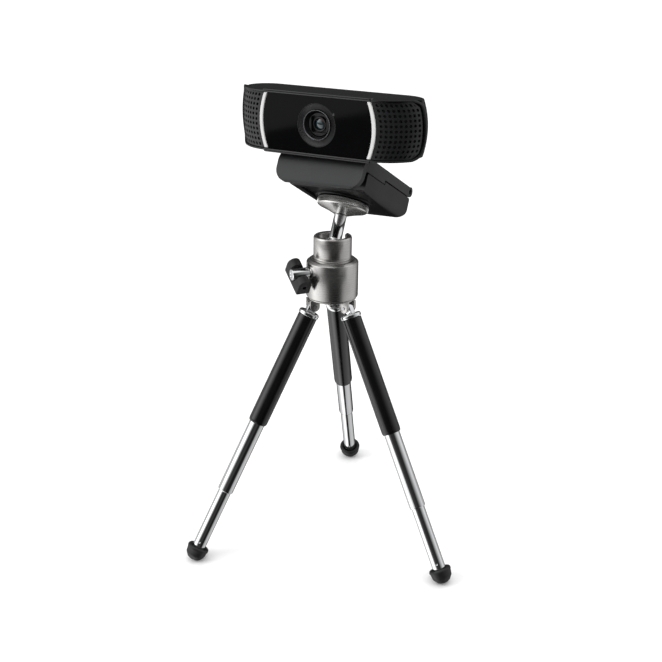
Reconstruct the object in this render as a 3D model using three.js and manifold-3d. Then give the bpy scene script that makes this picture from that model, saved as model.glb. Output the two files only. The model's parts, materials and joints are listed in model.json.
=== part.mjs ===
// Webcam clipped to a small ball-head tripod with three telescoping legs.
// Millimetres, +Z up. The origin is under the middle of the whole object, on the ground.
// The tripod is described in its hub frame (hub axis = Z), the clip in the stem frame (stem
// axis = Z, ball centre at 0) and the webcam in its own frame (centre of its face at 0, facing -Y).
import * as THREE from 'three';
import { mergeVertices } from 'three/addons/utils/BufferGeometryUtils.js';
import Module from 'manifold-3d';

const wasm = await Module();
wasm.setup();
const rad = THREE.MathUtils.degToRad;

// ---- driving dimensions ------------------------------------------------------------------
const HUB = { bottom: 120.8, plate: 119.6, shoulder: 137.3, top: 149.3, r: 11.94, neck: 8.77 };
const BALL = { z: 141.77, r: 6.3, lean: 27.6, roll: -1.76, stem: 2.9, wheel: 12 };
const KNOB = { azimuth: 235, z: 134.4, barrel: 2.65, tilt: 32, out: 16.6 };
const LEG = { pivotR: 9.37, pivotZ: 116.89, sleeveEnd: 61.4, lower: 32.2, footR: 5.25, ground: 4.75 };
const LEGS = [
  { name: 'left', azimuth: 230, splay: 26.3, mid: 36.4 },
  { name: 'right', azimuth: 350, splay: 26.3, mid: 36.4 },
  { name: 'back', azimuth: 110, splay: 29.0, mid: 24.5 },
];
const CLIP = { half: 21.8, footHalf: 20.3, pinY: 25.3, pinZ: 37.4, tiltY: -19.2, tiltZ: 40.1 };
// middle of the webcam's face in the stem frame; the webcam sits a little crooked on its clip
const FACE = { x: -0.6, y: -38.6, z: 47.1, roll: 1.1 };
const HEAD = { flat: 26, endR: 22.5, half: 14.1, endHalf: 13.4, inner: 12.6, reach: 47.2, case: 12.4 };
const STRIP = { half: 25.7, bow: 2.6, wide: 0.9 };

// ---- geometry helpers --------------------------------------------------------------------
function outward(geometry) {
  // merged, position-only copy whose faces point out
  geometry.deleteAttribute('normal');
  geometry.deleteAttribute('uv');
  const merged = mergeVertices(geometry, 1e-4);
  const p = merged.attributes.position.array;
  const tris = [];
  const source = merged.index.array;
  let volume = 0;
  for (let i = 0; i < source.length; i += 3) {
    const [a, b, c] = [source[i], source[i + 1], source[i + 2]];
    if (a === b || b === c || a === c) continue;
    tris.push(a, b, c);
    const [A, B, C] = [a, b, c].map(v => new THREE.Vector3().fromArray(p, v * 3));
    volume += A.dot(B.cross(C));
  }
  if (volume < 0) for (let i = 0; i < tris.length; i += 3) [tris[i], tris[i + 1]] = [tris[i + 1], tris[i]];
  merged.setIndex(tris);
  return merged;
}
function toSolid(geometry) {
  const g = outward(geometry.clone());
  return new wasm.Manifold(new wasm.Mesh({
    numProp: 3,
    vertProperties: new Float32Array(g.attributes.position.array),
    triVerts: new Uint32Array(g.index.array),
  }));
}
function fromSolid(solid) {
  const mesh = solid.getMesh();
  const g = new THREE.BufferGeometry();
  g.setAttribute('position', new THREE.BufferAttribute(new Float32Array(mesh.vertProperties), 3));
  g.setIndex(new THREE.BufferAttribute(new Uint32Array(mesh.triVerts), 1));
  return g;
}
const fold = op => (first, ...rest) =>
  fromSolid(rest.reduce((s, g) => s[op](toSolid(g)), toSolid(first)));
const cut = fold('subtract');
const join = fold('add');
const common = fold('intersect');

function turned(profile, segments = 24) {
  // [radius, z] points; a profile that leaves the axis free is closed on itself
  const pts = profile.map(([r, z]) => new THREE.Vector2(r, z));
  if (profile[0][0] > 0) pts.push(pts[0].clone());
  return new THREE.LatheGeometry(pts, segments).rotateX(Math.PI / 2);
}
const rod = (r, z0, z1, segments = 20) => turned([[0, z0], [r, z0], [r, z1], [0, z1]], segments);
const tube = (r, bore, z0, z1, segments = 24) => turned([[bore, z0], [r, z0], [r, z1], [bore, z1]], segments);
const block = (x0, x1, y0, y1, z0, z1) => new THREE.BoxGeometry(x1 - x0, y1 - y0, z1 - z0)
  .translate((x0 + x1) / 2, (y0 + y1) / 2, (z0 + z1) / 2);
const prism = (points, z0, z1) => new THREE.ExtrudeGeometry(
  new THREE.Shape(points.map(([x, y]) => new THREE.Vector2(x, y))), { depth: z1 - z0, bevelEnabled: false })
  .translate(0, 0, z0);
// outlines given as (y, z) pushed along X, and as (x, z) pushed along Y
const alongX = (points, x0, x1) => prism(points, x0, x1).applyMatrix4(new THREE.Matrix4().makeBasis(
  new THREE.Vector3(0, 1, 0), new THREE.Vector3(0, 0, 1), new THREE.Vector3(1, 0, 0)));
const alongY = (points, y0, y1) => prism(points, -y1, -y0).applyMatrix4(new THREE.Matrix4().makeBasis(
  new THREE.Vector3(1, 0, 0), new THREE.Vector3(0, 0, 1), new THREE.Vector3(0, -1, 0)));
const barX = (r, x0, x1, y, z, segments = 20) => rod(r, x0, x1, segments).rotateY(Math.PI / 2).translate(0, y, z);
const turnedY = (profile, segments) => turned(profile, segments).rotateX(-Math.PI / 2);
function arc(cx, cy, r, from, to, steps = 6) {
  return Array.from({ length: steps + 1 }, (_, i) => {
    const a = rad(from + (to - from) * i / steps);
    return [cx + r * Math.cos(a), cy + r * Math.sin(a)];
  });
}

// ---- materials and naming ----------------------------------------------------------------
const finish = (color, roughness, metalness = 0) => ({ color, roughness, metalness });
const LOOK = {
  chrome: finish(0xd9dadb, 0.08, 1), nickel: finish(0xa9a8a5, 0.35, 1), steel: finish(0x8f9092, 0.3, 1),
  bright: finish(0xc9c8c4, 0.25, 1), brass: finish(0xb58d45, 0.3, 1), sleeve: finish(0x0d0d0e, 0.22),
  rubber: finish(0x151516, 0.85), clip: finish(0x242526, 0.55), housing: finish(0x141516, 0.4),
  bezel: finish(0x0c0d0e, 0.15), gloss: finish(0x050607, 0.06), grille: finish(0x1b1c1e, 0.5),
  strip: finish(0xe8eae8, 0.3), black: finish(0x0a0a0b, 0.35), glass: finish(0x1b2a33, 0.03),
  board: finish(0x1d4a33, 0.5), sensor: finish(0x30343a, 0.3, 0.3), nylon: finish(0xc8c3b4, 0.6),
};
function add(parent, name, geometry, look) {
  const mesh = new THREE.Mesh(outward(geometry), new THREE.MeshStandardMaterial(LOOK[look]));
  mesh.name = name;
  parent.add(mesh);
  return mesh;
}

// ---- legs --------------------------------------------------------------------------------
// leg frame: pivot at 0, leg running down -Z, pivot axis along Y
function legGroup(leg) {
  const group = new THREE.Group();
  const around = rad(leg.azimuth);
  group.position.set(LEG.pivotR * Math.cos(around), LEG.pivotR * Math.sin(around), LEG.pivotZ);
  group.rotation.set(0, -rad(leg.splay), around, 'ZYX');
  return group;
}
function buildLeg(leg, ground) {
  const group = legGroup(leg);
  const midEnd = -LEG.sleeveEnd - leg.mid;
  const foot = midEnd - LEG.lower;
  const tongue = alongX([[2.2, -3.6], ...arc(0, 0, 2.2, 0, 180, 8), [-2.2, -3.6]], -1.4, 1.4)
    .rotateZ(Math.PI / 2);
  const cap = join(turned([[0, -3.2], [4.3, -3.2], [4.85, -3.7], [4.85, -5.2], [3.7, -5.2], [3.7, -9],
    [0, -9]]), tongue);
  add(group, `leg_cap_${leg.name}`, cut(cap, rod(1.15, -3, 3, 12).rotateX(Math.PI / 2)), 'chrome');
  add(group, `pivot_pin_${leg.name}`, rod(0.85, -3.6, 3.6, 12).rotateX(Math.PI / 2), 'steel');
  add(group, `sleeve_${leg.name}`, turned([[4, -5.5], [4.5, -5.5], [4.5, 0.6 - LEG.sleeveEnd],
    [4.2, -LEG.sleeveEnd], [4, -LEG.sleeveEnd]]), 'sleeve');
  add(group, `mid_tube_${leg.name}`, turned([[3.35, midEnd], [3.5, midEnd], [3.67, midEnd + 0.4],
    [3.67, midEnd + 55], [3.35, midEnd + 55]]), 'chrome');
  add(group, `lower_tube_${leg.name}`, tube(3.05, 2.5, foot - 1, foot + 49), 'chrome');
  const sole = new THREE.Group();
  const dome = cut(turned([[0, -LEG.footR], ...arc(0, 0, LEG.footR, -72, 0, 4), [LEG.footR, 1.6],
    [4.7, 2.4], [4.3, 3.9], [0, 3.9]].map(([r, z]) => [r, z + foot])), rod(3.25, foot - 1.4, foot + 5));
  sole.add(group);
  group.updateMatrixWorld(true);
  // the rubber is worn flat where it stands
  const floor = block(-20, 20, -20, 20, -20, 0).applyMatrix4(
    new THREE.Matrix4().multiplyMatrices(group.matrixWorld.clone().invert(), ground(leg)));
  add(group, `foot_${leg.name}`, cut(dome, floor), 'rubber');
  return group;
}
function footCentre(leg) {
  const group = legGroup(leg);
  group.updateMatrixWorld(true);
  return new THREE.Vector3(0, 0, -LEG.sleeveEnd - leg.mid - LEG.lower).applyMatrix4(group.matrixWorld);
}

// ---- hub ---------------------------------------------------------------------------------
function buildHub(group) {
  const shell = turned([[4.6, HUB.bottom], [HUB.r - 0.4, HUB.bottom], [HUB.r, HUB.bottom + 0.4],
    [HUB.r, HUB.shoulder], [10.4, HUB.shoulder + 1.3], [8.9, HUB.shoulder + 1.6], [8.5, HUB.shoulder + 2],
    [8.5, HUB.shoulder + 2.5], [HUB.neck, HUB.shoulder + 2.8], [HUB.neck, HUB.top - 0.5], [8.3, HUB.top],
    [6.15, HUB.top], [6.15, HUB.top - 0.9], [6.7, BALL.z + 3.6], [6.7, 135.2], [4.6, 135.2]], 40);
  const slot = alongY([[-3.5, HUB.top + 1], ...arc(0, BALL.z + 4.6, 3.5, 180, 360, 8), [3.5, HUB.top + 1]], 4, 12);
  const bore = rod(2.5, 2, 14, 20).rotateY(Math.PI / 2).rotateZ(rad(KNOB.azimuth))
    .translate(0, 0, KNOB.z - 1.4);
  add(group, 'hub_body', cut(shell, slot, bore), 'nickel');

  const ears = LEGS.flatMap(leg => [-1, 1].map(side => {
    const ear = alongY([[2.3, 3.1], [-2.3, 3.1], ...arc(0, 0, 2.3, 180, 360, 6)], side < 0 ? -3.3 : 1.75,
      side < 0 ? -1.75 : 3.3);
    return ear.translate(LEG.pivotR, 0, LEG.pivotZ).rotateZ(rad(leg.azimuth));
  }));
  const pinHoles = LEGS.map(leg => rod(1.15, -5, 5, 12).rotateX(Math.PI / 2)
    .translate(LEG.pivotR, 0, LEG.pivotZ).rotateZ(rad(leg.azimuth)));
  add(group, 'hub_base', cut(join(rod(11.1, HUB.plate, HUB.bottom - 0.3, 32), ...ears), ...pinHoles), 'nickel');
  add(group, 'ball_seat', turned([[4.5, 135.5], [6.4, 135.5], [6.4, BALL.z - 1.7], [5.9, BALL.z - 3.05],
    [5.2, BALL.z - 4.15], [4.5, BALL.z - 4.9]]), 'nylon');

  const knob = new THREE.Group();
  knob.position.set(0, 0, KNOB.z - 1.4);
  knob.rotation.z = rad(KNOB.azimuth);
  group.add(knob);
  const shaft = rod(2.2, 3.5, 13, 20);
  const barrel = turned([[0, 12.3], [2.4, 12.3], [2.65, 12.6], [2.65, 20.4], [2.35, 20.7], [0, 20.7]], 24);
  add(knob, 'clamp_screw', join(shaft, barrel).rotateY(Math.PI / 2), 'chrome');
  // wing handle: rounded along one edge, flat along the other, saddled over the barrel
  const section = [...arc(0, 0, 3.2, 0, 180, 8), [-3.3, -4.8], [3.3, -4.8]];
  const wing = cut(alongX(section.map(([out, up]) => [out, up - 0.6]), -7.6, 7.6)
    .applyMatrix4(new THREE.Matrix4().makeBasis(new THREE.Vector3(0, 1, 0), new THREE.Vector3(1, 0, 0),
      new THREE.Vector3(0, 0, 1))),
  rod(2.95, -12, 12, 24).rotateY(Math.PI / 2), block(-5, 5, -3.4, 3.4, 0, 5));
  add(knob, 'knob_handle', wing.rotateX(-rad(KNOB.tilt)).translate(KNOB.out, 0, 0), 'rubber');
}

// ---- ball, stem and clip -----------------------------------------------------------------
function buildStem(group) {
  const neck = Math.asin(BALL.stem / BALL.r) * 180 / Math.PI;
  add(group, 'ball_stem', turned([[0, -BALL.r], ...arc(0, 0, BALL.r, -78, 90 - neck, 9),
    [BALL.stem, 23.2], [0, 23.2]]), 'chrome');
  add(group, 'thumbwheel', turned([[3.15, 17.4], [3.5, 17.4], [11.2, 20.2], [BALL.wheel, 20.7],
    [BALL.wheel, 23.2], [11.6, 23.5], [3.15, 23.5]], 36), 'bright');
  add(group, 'camera_stud', turned([[0, 23.8], [2.9, 23.8], [2.9, 31], [2.4, 31.5], [0, 31.5]]), 'steel');
}
function buildClip(group) {
  const { pinY, pinZ, tiltY, tiltZ, half, footHalf } = CLIP;
  const side = [...arc(-17, 28.4, 3.5, 180, 270, 4), ...arc(20, 28.6, 5.1, 270, 360, 6), [25.1, 32.9],
    [23.9, 34.2], [-2.5, 34.2], [-2.5, 32.7], [-19.7, 32.7], [-20.5, 31.9]];
  const across = [...arc(-footHalf + 5, 28.5, 5, 180, 270, 5), ...arc(footHalf - 5, 28.5, 5, 270, 360, 5),
    [footHalf, 40], [-footHalf, 40]];
  const body = common(alongX(side, -footHalf, footHalf), alongY(across, -30, 30));
  const knuckle = join(barX(2.6, -7.5, 7.5, pinY, pinZ),
    alongX([[pinY - 2.6, pinZ], [pinY + 2.6, pinZ], [24.2, 31.5], [20.5, 31.5]], -7.5, 7.5));
  add(group, 'clip_foot', cut(join(body, knuckle, rod(13.3, 23.9, 26, 32)),
    rod(4.9, 23, 32.2, 24), barX(1.3, -9, 9, pinY, pinZ), block(-16.3, 16.3, 2.7, 18.3, 33.4, 35)), 'clip');
  add(group, 'thread_insert', tube(4.6, 3.25, 24.2, 31.9, 24), 'brass');
  add(group, 'foot_pad', block(-16, 16, 3, 18, 33.7, 34.5), 'rubber');
  add(group, 'clip_pin', barX(1, -17.5, 17.5, pinY, pinZ, 16), 'steel');

  const armSide = [[-28.4, 26], [-28.2, 24.2], [-27.4, 23.4], [-26.4, 23.4], [-25.6, 24.4], [-25.6, 30],
    [-24.4, 32.2], [-22.4, 33.1], [-2.8, 33.1], [-2.8, 34.9], [pinY, 34.9], ...arc(pinY, pinZ, 2.5, -90, 74, 8),
    [22, 39.4], [-18, 39.4], [-22.5, 38.9], [-26, 37.6], [-27.8, 35.4], [-28.4, 33]];
  const outline = [...arc(-half + 6.5, 29.9, 6.5, 180, 270, 6), ...arc(half - 6.5, 29.9, 6.5, 270, 360, 6),
    [half, 45], [-half, 45]];
  const plan = [[-half, -30], [half, -30], [half, -25.4], [20.4, -22], [19.8, 29], [-19.8, 29],
    [-20.4, -22], [-half, -25.4]];
  const arm = common(alongX(armSide, -half, half), alongY(outline, -40, 40), prism(plan, 20, 45));
  const boss = barX(2.2, -7.3, 7.3, tiltY, tiltZ);
  add(group, 'clip_arm', cut(join(arm, boss), barX(1.3, -30, 30, tiltY, tiltZ),
    barX(2.75, 7.3, 11.8, tiltY, tiltZ), barX(2.75, -11.8, -7.3, tiltY, tiltZ),
    barX(1.3, -17.9, 17.9, pinY, pinZ), block(-7.9, 7.9, 20.4, 30, 30, 45)), 'clip');
  add(group, 'flap_pad', block(-15, 15, -25.3, -24.4, 25.4, 30), 'rubber');
  add(group, 'tilt_pin', barX(1, -11.5, 11.5, tiltY, tiltZ, 16), 'steel');
}

// ---- webcam ------------------------------------------------------------------------------
// plan view of the face: flat middle, ends wrapping back on an arc; s runs along it
function facePoint(s, inset) {
  const over = Math.max(0, Math.abs(s) - HEAD.flat) / HEAD.endR;
  const r = HEAD.endR - inset;
  const x = Math.min(Math.abs(s), HEAD.flat) + (over ? r * Math.sin(over) : 0);
  return [Math.sign(s) * x, over ? HEAD.endR - r * Math.cos(over) : inset];
}
function facePath(s0, s1, inset) {
  const steps = [s0, -HEAD.flat, HEAD.flat, s1];
  for (let s = 30; s < 51; s += 4) steps.push(s, -s);
  return [...new Set(steps)].filter(s => s >= s0 && s <= s1).sort((a, b) => a - b)
    .map(s => facePoint(s, inset));
}
const band = (s0, s1, near, far, half) => prism(
  [...facePath(s0, s1, near), ...facePath(s0, s1, far).reverse()], -half, half);
const levels = [-1, -0.97, -0.9, -0.75, -0.5, -0.25, 0, 0.25, 0.5, 0.75, 0.9, 0.97, 1];
const endX = (t, reach) => reach - t ** 2 - 1.2 * Math.abs(t) ** 20;
const bowX = z => STRIP.half + STRIP.bow * (1 - (z / HEAD.inner) ** 2);
function frontOutline(half, reach) {
  return [...levels.map(t => [endX(t, reach), t * half]),
    ...levels.map(t => [-endX(t, reach), -t * half])];
}
function casePlan(wall, front) {
  const r = 12 - wall;
  return [...facePath(-front, front, wall ? 0 : 3.3), ...arc(33.5, 15.5, r, 0, 90, 6),
    ...arc(-33.5, 15.5, r, 90, 180, 6)];
}
function buildHead(group) {
  // what meets the tilt pin lies square to the clip, not to the crooked webcam
  const square = g => g.translate(-FACE.x, 0, 0).rotateY(-rad(FACE.roll));
  const lug = side => square(alongX([[11.7, -11.7], [11.7, -15.2], ...arc(14, -15.2, 2.3, 180, 360, 8),
    [16.3, -11.7]], side < 0 ? -11.3 : 7.7, side < 0 ? -7.7 : 11.3));
  const shell = common(prism(casePlan(0, 53.2), -HEAD.case, HEAD.case),
    alongY(frontOutline(HEAD.case, 46.6), -5, 40));
  const screwX = 30;
  const hollows = [prism(casePlan(2, 44), -10.4, 10.4), square(barX(1.3, -14, 14, 14, -15.2)),
    turnedY([[0, 20], [3.3, 20], [3.3, 30], [0, 30]], 24).translate(0, 0, -3),
    ...[-1, 1].map(s => turnedY([[0, 25.9], [2, 25.9], [2, 30], [0, 30]], 16).translate(s * screwX, 0, 0))];
  add(group, 'rear_housing', cut(join(shell, lug(-1), lug(1)), ...hollows), 'housing');
  // thin rim round the ends, thicker lips above and below the panel, cut along the strips' bow
  const lips = levels.map(t => t * HEAD.half);
  const rim = common(band(-53, 53, 0, 3, HEAD.endHalf), alongY(frontOutline(HEAD.endHalf, HEAD.reach), -5, 40));
  const bar = common(band(-34, 34, 0, 3, HEAD.half), alongY([...lips.map(z => [bowX(z) + 1.8, z]),
    ...lips.map(z => [-bowX(z) - 1.8, -z])], -5, 40));
  const window = common(band(-52.4, 52.4, -1, 4, HEAD.inner), alongY(frontOutline(HEAD.inner, 46.6), -5, 40));
  add(group, 'front_bezel', cut(join(rim, bar), window), 'bezel');

  const inner = HEAD.inner - 0.3;
  const zs = levels.map(t => t * inner);
  const panelShape = [...zs.map(z => [bowX(z) - 1.2, z]), ...zs.map(z => [-bowX(z) + 1.2, -z])];
  add(group, 'face_panel', cut(common(band(-32, 32, 0.7, 2.3, inner), alongY(panelShape, -3, 8)),
    turnedY([[0, -2], [9.9, -2], [9.9, 6], [0, 6]], 32)), 'gloss');
  for (const [name, side] of [['left', -1], ['right', 1]]) {
    const mirror = points => points.map(([x, z]) => [side * x, z]);
    const strip = [...zs.map(z => [bowX(z) - STRIP.wide, z]), ...zs.map(z => [bowX(-z) + STRIP.wide, -z])];
    add(group, `light_strip_${name}`, common(band(-34, 34, 0.3, 2.9, inner),
      alongY(mirror(strip), -3, 8)), 'strip');
    const mesh = [...zs.map(z => [bowX(z) + 1.2, z]), ...zs.map(z => [endX(-z / HEAD.inner, 46.2), -z])];
    add(group, `grille_${name}`, common(band(-52.1, 52.1, 0.9, 2.5, inner),
      alongY(mirror(mesh), -3, 30)), 'grille');
    add(group, `microphone_${name}`, turnedY([[0, 17.6], [2.2, 17.6], [2.2, 19.7], [0, 19.7]], 16)
      .translate(side * 26, 0, 2), 'steel');
    add(group, `case_screw_${name}`, turnedY([[0, 26.2], [1.7, 26.2], [1.7, 27.1], [0, 27.1]], 16)
      .translate(side * screwX, 0, 0), 'steel');
  }
  add(group, 'lens_ring', turnedY([[5.5, 2.6], [6, 0.9], [6.57, 0.7], [7, 1.6], [9.2, 0.5], [9.6, 0.7],
    [9.6, 6], [5.5, 6]], 32), 'black');
  add(group, 'lens_barrel', turnedY([[3.1, 4.9], [3.1, 3.3], [5.1, 2.9], [5.1, 13.2], [4.1, 13.2],
    [4.1, 4.9]], 24), 'black');
  add(group, 'lens_glass', turnedY([[0, 5.2], [2.4, 5.3], [3.8, 5.9], [3.8, 7.4], [0, 8]], 20), 'glass');
  add(group, 'image_sensor', block(-3.4, 3.4, 13.6, 14.6, -2.6, 2.6), 'sensor');
  add(group, 'sensor_board', block(-8, 8, 14.9, 16.1, -8, 8), 'board');
  add(group, 'main_board', block(-34, 34, 20, 21.4, -8.6, 8.6), 'board');
  add(group, 'cable_grommet', turnedY([[0, 22], [3, 22], [3, 28], [2.6, 28.6], [1.5, 28.6], [1.5, 24],
    [0, 24]], 24).translate(0, 0, -3), 'rubber');
}

// ---- assembly ----------------------------------------------------------------------------
// the ground passes under the three feet; the whole stand is turned to bring it level
const [left, right, back] = LEGS.map(footCentre);
const up = new THREE.Vector3().subVectors(right, left).cross(new THREE.Vector3().subVectors(back, left)).normalize();
const level = new THREE.Quaternion().setFromUnitVectors(up, new THREE.Vector3(0, 0, 1));
const drop = LEG.ground - left.clone().applyQuaternion(level).z;
const toHub = new THREE.Matrix4().makeRotationFromQuaternion(level.clone().invert());
function ground(leg) {
  // frame whose XY plane is the ground below this leg's foot
  const under = footCentre(leg).addScaledVector(up, -LEG.ground);
  return toHub.clone().setPosition(under);
}

const stand = new THREE.Group();
stand.quaternion.copy(level);
stand.position.z = drop;
for (const leg of LEGS) stand.add(buildLeg(leg, ground));
buildHub(stand);
const stem = new THREE.Group();
stem.position.z = BALL.z;
stem.rotation.set(-rad(BALL.lean), rad(BALL.roll), 0, 'YXZ');
stand.add(stem);
buildStem(stem);
buildClip(stem);
const head = new THREE.Group();
head.position.set(FACE.x, FACE.y, FACE.z);
head.rotation.set(rad(BALL.lean), rad(FACE.roll), 0, 'XYZ');
stem.add(head);
buildHead(head);

const webcam = new THREE.Group();
webcam.add(stand);
webcam.updateMatrixWorld(true);
const box = new THREE.Box3().setFromObject(webcam, true);
const middle = box.getCenter(new THREE.Vector3());
stand.position.x -= middle.x;
stand.position.y -= middle.y;
stand.position.z -= box.min.z;
webcam.updateMatrixWorld(true);

export default webcam;
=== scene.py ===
"""Looks for a webcam clipped to a small ball-head tripod.

Every piece is shaped in millimetres in a frame of its own assembly (leg, hub, stem or webcam),
the same frames as the solid model's, and is then laid into the shared frame in metres.
"""
import json
import math

import bmesh
import bpy
from mathutils import Matrix, Vector


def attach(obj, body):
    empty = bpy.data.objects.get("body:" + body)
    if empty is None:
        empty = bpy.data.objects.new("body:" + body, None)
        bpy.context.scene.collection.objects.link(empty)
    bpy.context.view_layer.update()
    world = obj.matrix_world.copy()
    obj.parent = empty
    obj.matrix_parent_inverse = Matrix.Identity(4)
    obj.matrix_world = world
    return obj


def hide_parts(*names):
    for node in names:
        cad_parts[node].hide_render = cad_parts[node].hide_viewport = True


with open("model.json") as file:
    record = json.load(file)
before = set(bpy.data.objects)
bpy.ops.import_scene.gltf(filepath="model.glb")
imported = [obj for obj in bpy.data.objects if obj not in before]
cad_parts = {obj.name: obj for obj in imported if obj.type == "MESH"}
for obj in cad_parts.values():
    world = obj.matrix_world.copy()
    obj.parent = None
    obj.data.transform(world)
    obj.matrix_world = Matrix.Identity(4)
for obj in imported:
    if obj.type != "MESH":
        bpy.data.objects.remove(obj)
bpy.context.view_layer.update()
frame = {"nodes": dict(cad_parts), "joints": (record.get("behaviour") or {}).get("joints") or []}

# ---- driving dimensions, millimetres ------------------------------------------------------
MM = 0.001
BALL_Z, BALL_R, LEAN, STEM_R = 141.77, 6.3, 27.6, 2.9
HUB_R, NECK_R, HUB_LOW, SHOULDER, HUB_TOP = 11.94, 8.77, 120.8, 137.3, 149.3
PIVOT_R, PIVOT_Z = 9.37, 116.89
KNOB_AZIMUTH, KNOB_TILT, KNOB_OUT = 235.0, 32.0, 16.6
SLEEVE_END, LOWER_LONG, FOOT_R = 61.4, 32.2, 5.19
LEGS = {"left": (230, 36.4), "right": (350, 36.4), "back": (110, 24.5)}
WHEEL_R, CLIP_HALF, FOOT_HALF = 12.0, 21.8, 20.3
CLIP_PIN, TILT_PIN = (25.3, 37.4), (-19.2, 40.1)
FACE_AT, FACE_ROLL = (-0.6, -38.6, 47.1), 1.1
FLAT, END_R, LIP_HALF, END_HALF, INNER_HALF, CASE_HALF = 26.0, 22.5, 14.1, 13.4, 12.6, 12.4
END_REACH, STRIP_AT, STRIP_BOW, STRIP_WIDE = 47.2, 25.7, 2.6, 0.9
BARREL = 2.0                                       # the face's ends draw in this much at top and bottom
WHEEL_TEETH, TOOTH_DEPTH = 84, 0.72

# ---- frames of the assemblies -------------------------------------------------------------
JOINT = {j["name"]: j for j in frame["joints"]}


def pivot(name):
    return Vector(JOINT[name]["pos_m"])


def direction(name):
    return Vector(JOINT[name]["axis"]).normalized()


def placed(origin, x, z):
    """Matrix from local millimetres, with these X and Z directions, to the row frame."""
    z = z.normalized()
    x = (x - z * x.dot(z)).normalized()
    m = Matrix((x, z.cross(x), z)).transposed().to_4x4()
    m.translation = origin
    return m @ Matrix.Scale(MM, 4)


STEM = placed(pivot("ball_tilt"), -direction("ball_tilt"), direction("wheel_turn"))
hub_up = direction("leg_fold_left").cross(direction("leg_fold_right"))
hub_up = hub_up.normalized() * (1 if hub_up.z > 0 else -1)
hub_x = Matrix.Rotation(math.radians(-KNOB_AZIMUTH), 3, hub_up) @ direction("clamp_turn")
HUB = placed(pivot("ball_tilt") - hub_up * BALL_Z * MM, hub_x, hub_up)
KNOB = placed(pivot("clamp_turn") - direction("clamp_turn") * 16 * MM, direction("clamp_turn"), hub_up)
SQUARE_HEAD = STEM @ Matrix.Translation((0, *FACE_AT[1:])) @ Matrix.Rotation(math.radians(LEAN), 4, "X")
HEAD = (SQUARE_HEAD @ Matrix.Translation((FACE_AT[0], 0, 0))
        @ Matrix.Rotation(math.radians(FACE_ROLL), 4, "Y"))
LEG = {}
for side in LEGS:
    along, fold = -direction(f"mid_slide_{side}"), direction(f"leg_fold_{side}")
    LEG[side] = placed(pivot(f"leg_fold_{side}"), fold.cross(along), along)
TURN_Y = Matrix.Rotation(math.radians(-90), 4, "X")      # local Z to +Y, X kept
UP_Y = Matrix.Rotation(math.radians(90), 4, "X")         # (x, z) outlines pushed to -Y
TURN_X = Matrix.Rotation(math.radians(90), 4, "Y")       # local Z to +X, Y kept
ALONG_X = Matrix(((0, 0, 1, 0), (1, 0, 0, 0), (0, 1, 0, 0), (0, 0, 0, 1)))    # (y, z) pushed to +X


# ---- shaping helpers ----------------------------------------------------------------------
def clean(bm, doubles=0.0005):
    bmesh.ops.remove_doubles(bm, verts=bm.verts, dist=doubles)
    bmesh.ops.recalc_face_normals(bm, faces=bm.faces)
    bm.normal_update()
    return bm


def spun(profile, steps=72, turn=None):
    """Turn an (r, z) outline round Z; an outline that stays off the axis closes on itself."""
    bm = bmesh.new()
    verts = [bm.verts.new((r, 0, z)) for r, z in profile]
    pairs = list(zip(verts, verts[1:]))
    if profile[0][0] > 1e-6:
        pairs.append((verts[-1], verts[0]))
    edges = [bm.edges.new(p) for p in pairs]
    bmesh.ops.spin(bm, geom=verts + edges, axis=(0, 0, 1), cent=(0, 0, 0), angle=math.tau,
                   steps=steps, use_merge=True)
    if turn:
        bmesh.ops.transform(bm, matrix=turn, verts=bm.verts)
    return clean(bm)


def slab(outline, low, high, turn=None):
    """Push a flat outline from low to high along Z."""
    bm = bmesh.new()
    face = bm.faces.new([bm.verts.new((x, y, low)) for x, y in outline])
    grown = bmesh.ops.extrude_face_region(bm, geom=[face])["geom"]
    bmesh.ops.translate(bm, vec=(0, 0, high - low),
                        verts=[g for g in grown if isinstance(g, bmesh.types.BMVert)])
    if turn:
        bmesh.ops.transform(bm, matrix=turn, verts=bm.verts)
    return clean(bm)


def arc(cx, cy, r, start, end, steps=8):
    angles = [math.radians(start + (end - start) * i / steps) for i in range(steps + 1)]
    return [(cx + r * math.cos(a), cy + r * math.sin(a)) for a in angles]


def rounded(half_x, half_y, r, steps=6):
    """Rounded rectangle centred on the origin."""
    corners = ((1, 1, 0), (-1, 1, 90), (-1, -1, 180), (1, -1, 270))
    return [p for sx, sy, a in corners
            for p in arc(sx * (half_x - r), sy * (half_y - r), r, a, a + 90, steps)]


def sheet_of(columns, rows, lay):
    """A flat grid whose corners run from -1 to 1, laid out by lay(u, v) -> (x, y, z)."""
    bm = bmesh.new()
    bmesh.ops.create_grid(bm, x_segments=columns, y_segments=rows, size=1)
    for v in bm.verts:
        v.co = lay(v.co.x, v.co.y)
    bm.normal_update()
    return bm


def thick(bm, depth):
    """Give an open skin its thickness, away from the side that its faces point to."""
    bm.normal_update()
    bmesh.ops.solidify(bm, geom=bm.faces, thickness=depth)
    return clean(bm)


def merged(*parts):
    """One bmesh holding several closed shapes."""
    whole = parts[0]
    for part in parts[1:]:
        mesh = bpy.data.meshes.new("part")
        part.to_mesh(mesh)
        whole.from_mesh(mesh)
        bpy.data.meshes.remove(mesh)
        part.free()
    return whole


def crease_edges(bm, angle=30):
    sharp = math.radians(angle)
    return [e for e in bm.edges if len(e.link_faces) == 2 and e.calc_face_angle(0) > sharp]


def eased(bm, width, segments=3, angle=30, where=None):
    """Round the sharp edges, or those that where(midpoint) picks."""
    bm.normal_update()
    edges = [e for e in crease_edges(bm, angle)
             if where is None or where((e.verts[0].co + e.verts[1].co) / 2)]
    bmesh.ops.bevel(bm, geom=edges, offset=width, offset_type="OFFSET", segments=segments,
                    profile=0.5, affect="EDGES", clamp_overlap=True, material=-1)
    return bm


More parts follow.
